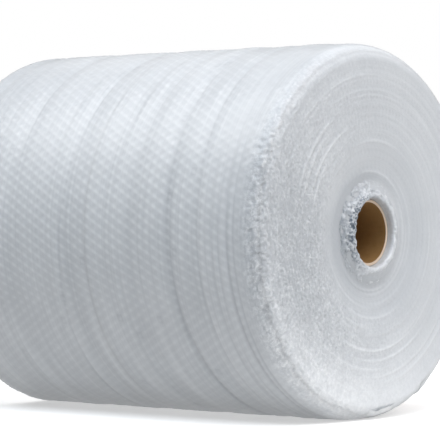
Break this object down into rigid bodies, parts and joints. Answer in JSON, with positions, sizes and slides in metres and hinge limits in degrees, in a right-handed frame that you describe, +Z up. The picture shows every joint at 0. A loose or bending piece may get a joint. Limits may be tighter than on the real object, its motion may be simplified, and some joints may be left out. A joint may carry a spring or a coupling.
{
  "type": "bubble wrap roll",
  "caption": "Roll of clear bubble wrap wound on a cardboard tube, lying on its side, with soft rounded ends and an open core for a dispenser's rod.",
  "frame": {"origin": "middle of the footprint, on the surface that the roll lies on", "axes": "+X along the roll's axis, towards the end with the stood-out collar that is seen first, +Z up"},
  "size_m": [0.5, 0.4348, 0.432],
  "materials": {
    "bubble_film": "clear polyethylene film with air bubbles, milky white where many turns lie together",
    "core_board": "matt brown kraft board, spirally wound"
  },
  "bodies": {
    "root": {"film_roll": "bubble_film", "core_tube": "core_board"}
  },
  "joints": []
}
